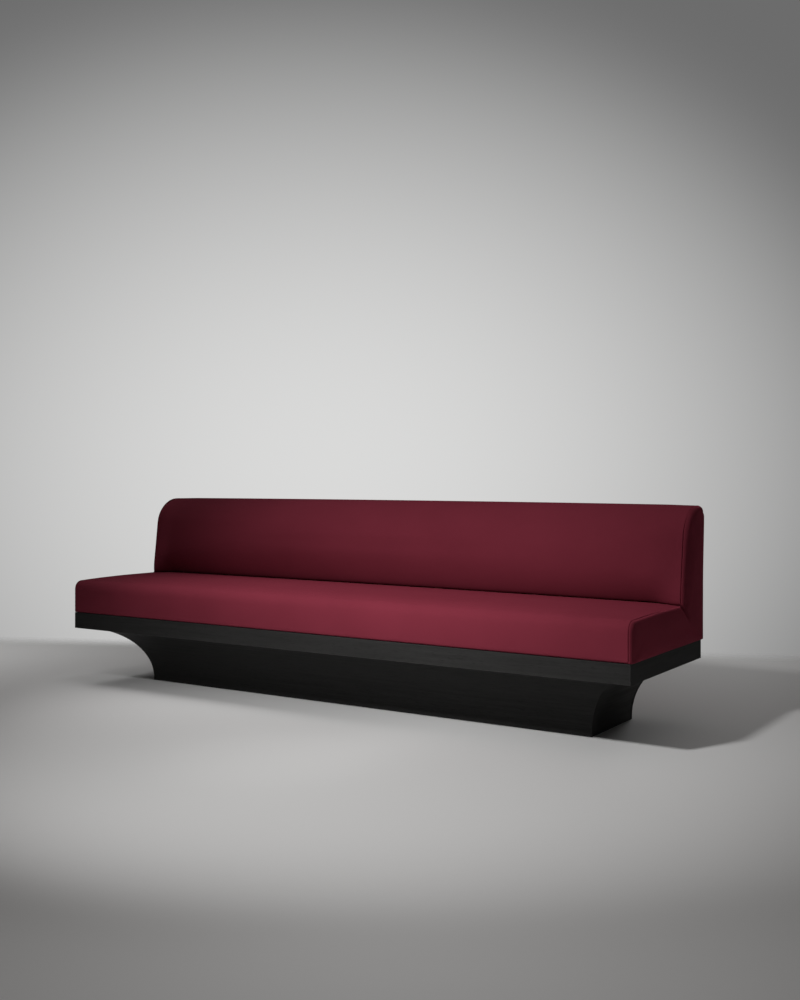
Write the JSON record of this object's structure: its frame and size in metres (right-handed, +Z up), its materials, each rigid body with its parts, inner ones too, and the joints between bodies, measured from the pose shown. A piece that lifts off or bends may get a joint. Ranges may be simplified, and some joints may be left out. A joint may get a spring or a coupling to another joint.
{
  "type": "sofa",
  "caption": "Long armless bench sofa: tightly upholstered seat and thick rounded back in wool cloth, on a straight wooden band and a plinth that curves in under it.",
  "frame": {"origin": "on the floor, under the middle of the sofa", "axes": "+X along the sofa to the right as seen from the front, +Y to the rear, +Z up"},
  "size_m": [2.6, 0.69, 0.8],
  "materials": {
    "ebonised_wood": "satin",
    "beech": "planed",
    "plywood": "sanded",
    "webbing": "woven",
    "wine_cloth": "fine wool cloth",
    "foam": "open cell",
    "steel": "zinc plated"
  },
  "bodies": {
    "root": {"back_board": "plywood", "back_cover": "wine_cloth", "back_crest_rail": "beech", "back_end_pad_left": "foam", "back_end_pad_right": "foam", "back_foam": "foam", "back_lower_rail": "beech", "back_top_rail": "beech", "back_webbing": "webbing", "band_front": "ebonised_wood", "band_left": "ebonised_wood", "band_rear": "ebonised_wood", "band_right": "ebonised_wood", "deck_left": "plywood", "deck_right": "plywood", "end_cover_left": "wine_cloth", "end_cover_right": "wine_cloth", "end_former_left": "plywood", "end_former_right": "plywood", "end_rib_left_1": "plywood", "end_rib_left_2": "plywood", "end_rib_right_1": "plywood", "end_rib_right_2": "plywood", "former_1": "plywood", "former_2": "plywood", "former_3": "plywood", "former_4": "plywood", "frame_bolts": "steel", "plinth_front_cove": "ebonised_wood", "plinth_left_cove": "ebonised_wood", "plinth_rear_board": "ebonised_wood", "plinth_right_cove": "ebonised_wood", "rear_cover": "wine_cloth", "rear_pad": "foam", "rib_1": "plywood", "rib_2": "plywood", "rib_3": "plywood", "rib_4": "plywood", "rib_5": "plywood", "seat_corner_blocks": "beech", "seat_cover": "wine_cloth", "seat_cross_webbing": "webbing", "seat_end_pad_left": "foam", "seat_end_pad_right": "foam", "seat_foam": "foam", "seat_front_rail": "beech", "seat_long_webbing": "webbing", "seat_rear_rail": "beech", "seat_web_rail": "beech", "sill_front": "beech", "sill_left": "beech", "sill_rear": "beech", "sill_right": "beech"}
  },
  "joints": []
}
